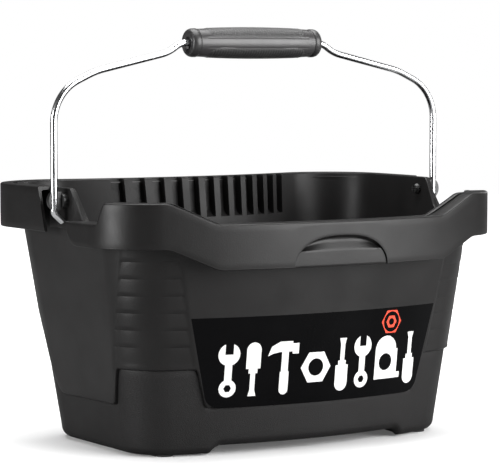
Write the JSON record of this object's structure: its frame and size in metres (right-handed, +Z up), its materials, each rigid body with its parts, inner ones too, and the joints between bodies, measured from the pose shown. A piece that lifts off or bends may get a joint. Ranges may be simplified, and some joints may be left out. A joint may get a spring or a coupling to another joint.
{
  "type": "tool bucket organizer",
  "caption": "Rectangular tool bucket with a skirted rim, tool slots along the back, finger scoop, steel bail on side buttons and a turning grip.",
  "frame": {"origin": "on the floor under the bail's axis, in the middle of the bucket's length", "axes": "+X along the bucket's length towards its right end, seen from the low front; -Y towards the low front; +Z up"},
  "size_m": [0.409, 0.2881, 0.3619],
  "materials": {
    "tub_plastic": "satin dark charcoal moulding, finely grained on the base guard",
    "foot_rubber": "dull black",
    "label_gloss": "gloss black film",
    "print_white": "white ink",
    "print_red": "red ink",
    "wire_steel": "bright zinc plated",
    "button_plastic": "satin black",
    "grip_plastic": "satin dark grey",
    "grip_soft": "dull, cross ribbed",
    "cap_plastic": "satin black"
  },
  "bodies": {
    "bucket": {"tub": "tub_plastic", "foot_pad_front_left": "foot_rubber", "foot_pad_front_right": "foot_rubber", "foot_pad_back_left": "foot_rubber", "foot_pad_back_right": "foot_rubber", "label_film": "label_gloss", "label_print": "print_white", "label_emblem": "print_red"},
    "bail": {"bail_wire": "wire_steel", "pivot_button_left": "button_plastic", "pivot_button_right": "button_plastic"},
    "grip": {"grip_core": "grip_plastic", "grip_pad_upper": "grip_soft", "grip_pad_lower": "grip_soft", "grip_cap_left": "cap_plastic", "grip_cap_right": "cap_plastic"}
  },
  "joints": [
    {"name": "bail_hinge", "type": "hinge", "parent": "bucket", "child": "bail", "pos_m": [0, 0, 0.214], "axis": [1, 0, 0], "range_deg": [-60, 85]},
    {"name": "grip_spin", "type": "hinge", "parent": "bail", "child": "grip", "pos_m": [0, 0, 0.348], "axis": [1, 0, 0], "continuous": true}
  ]
}
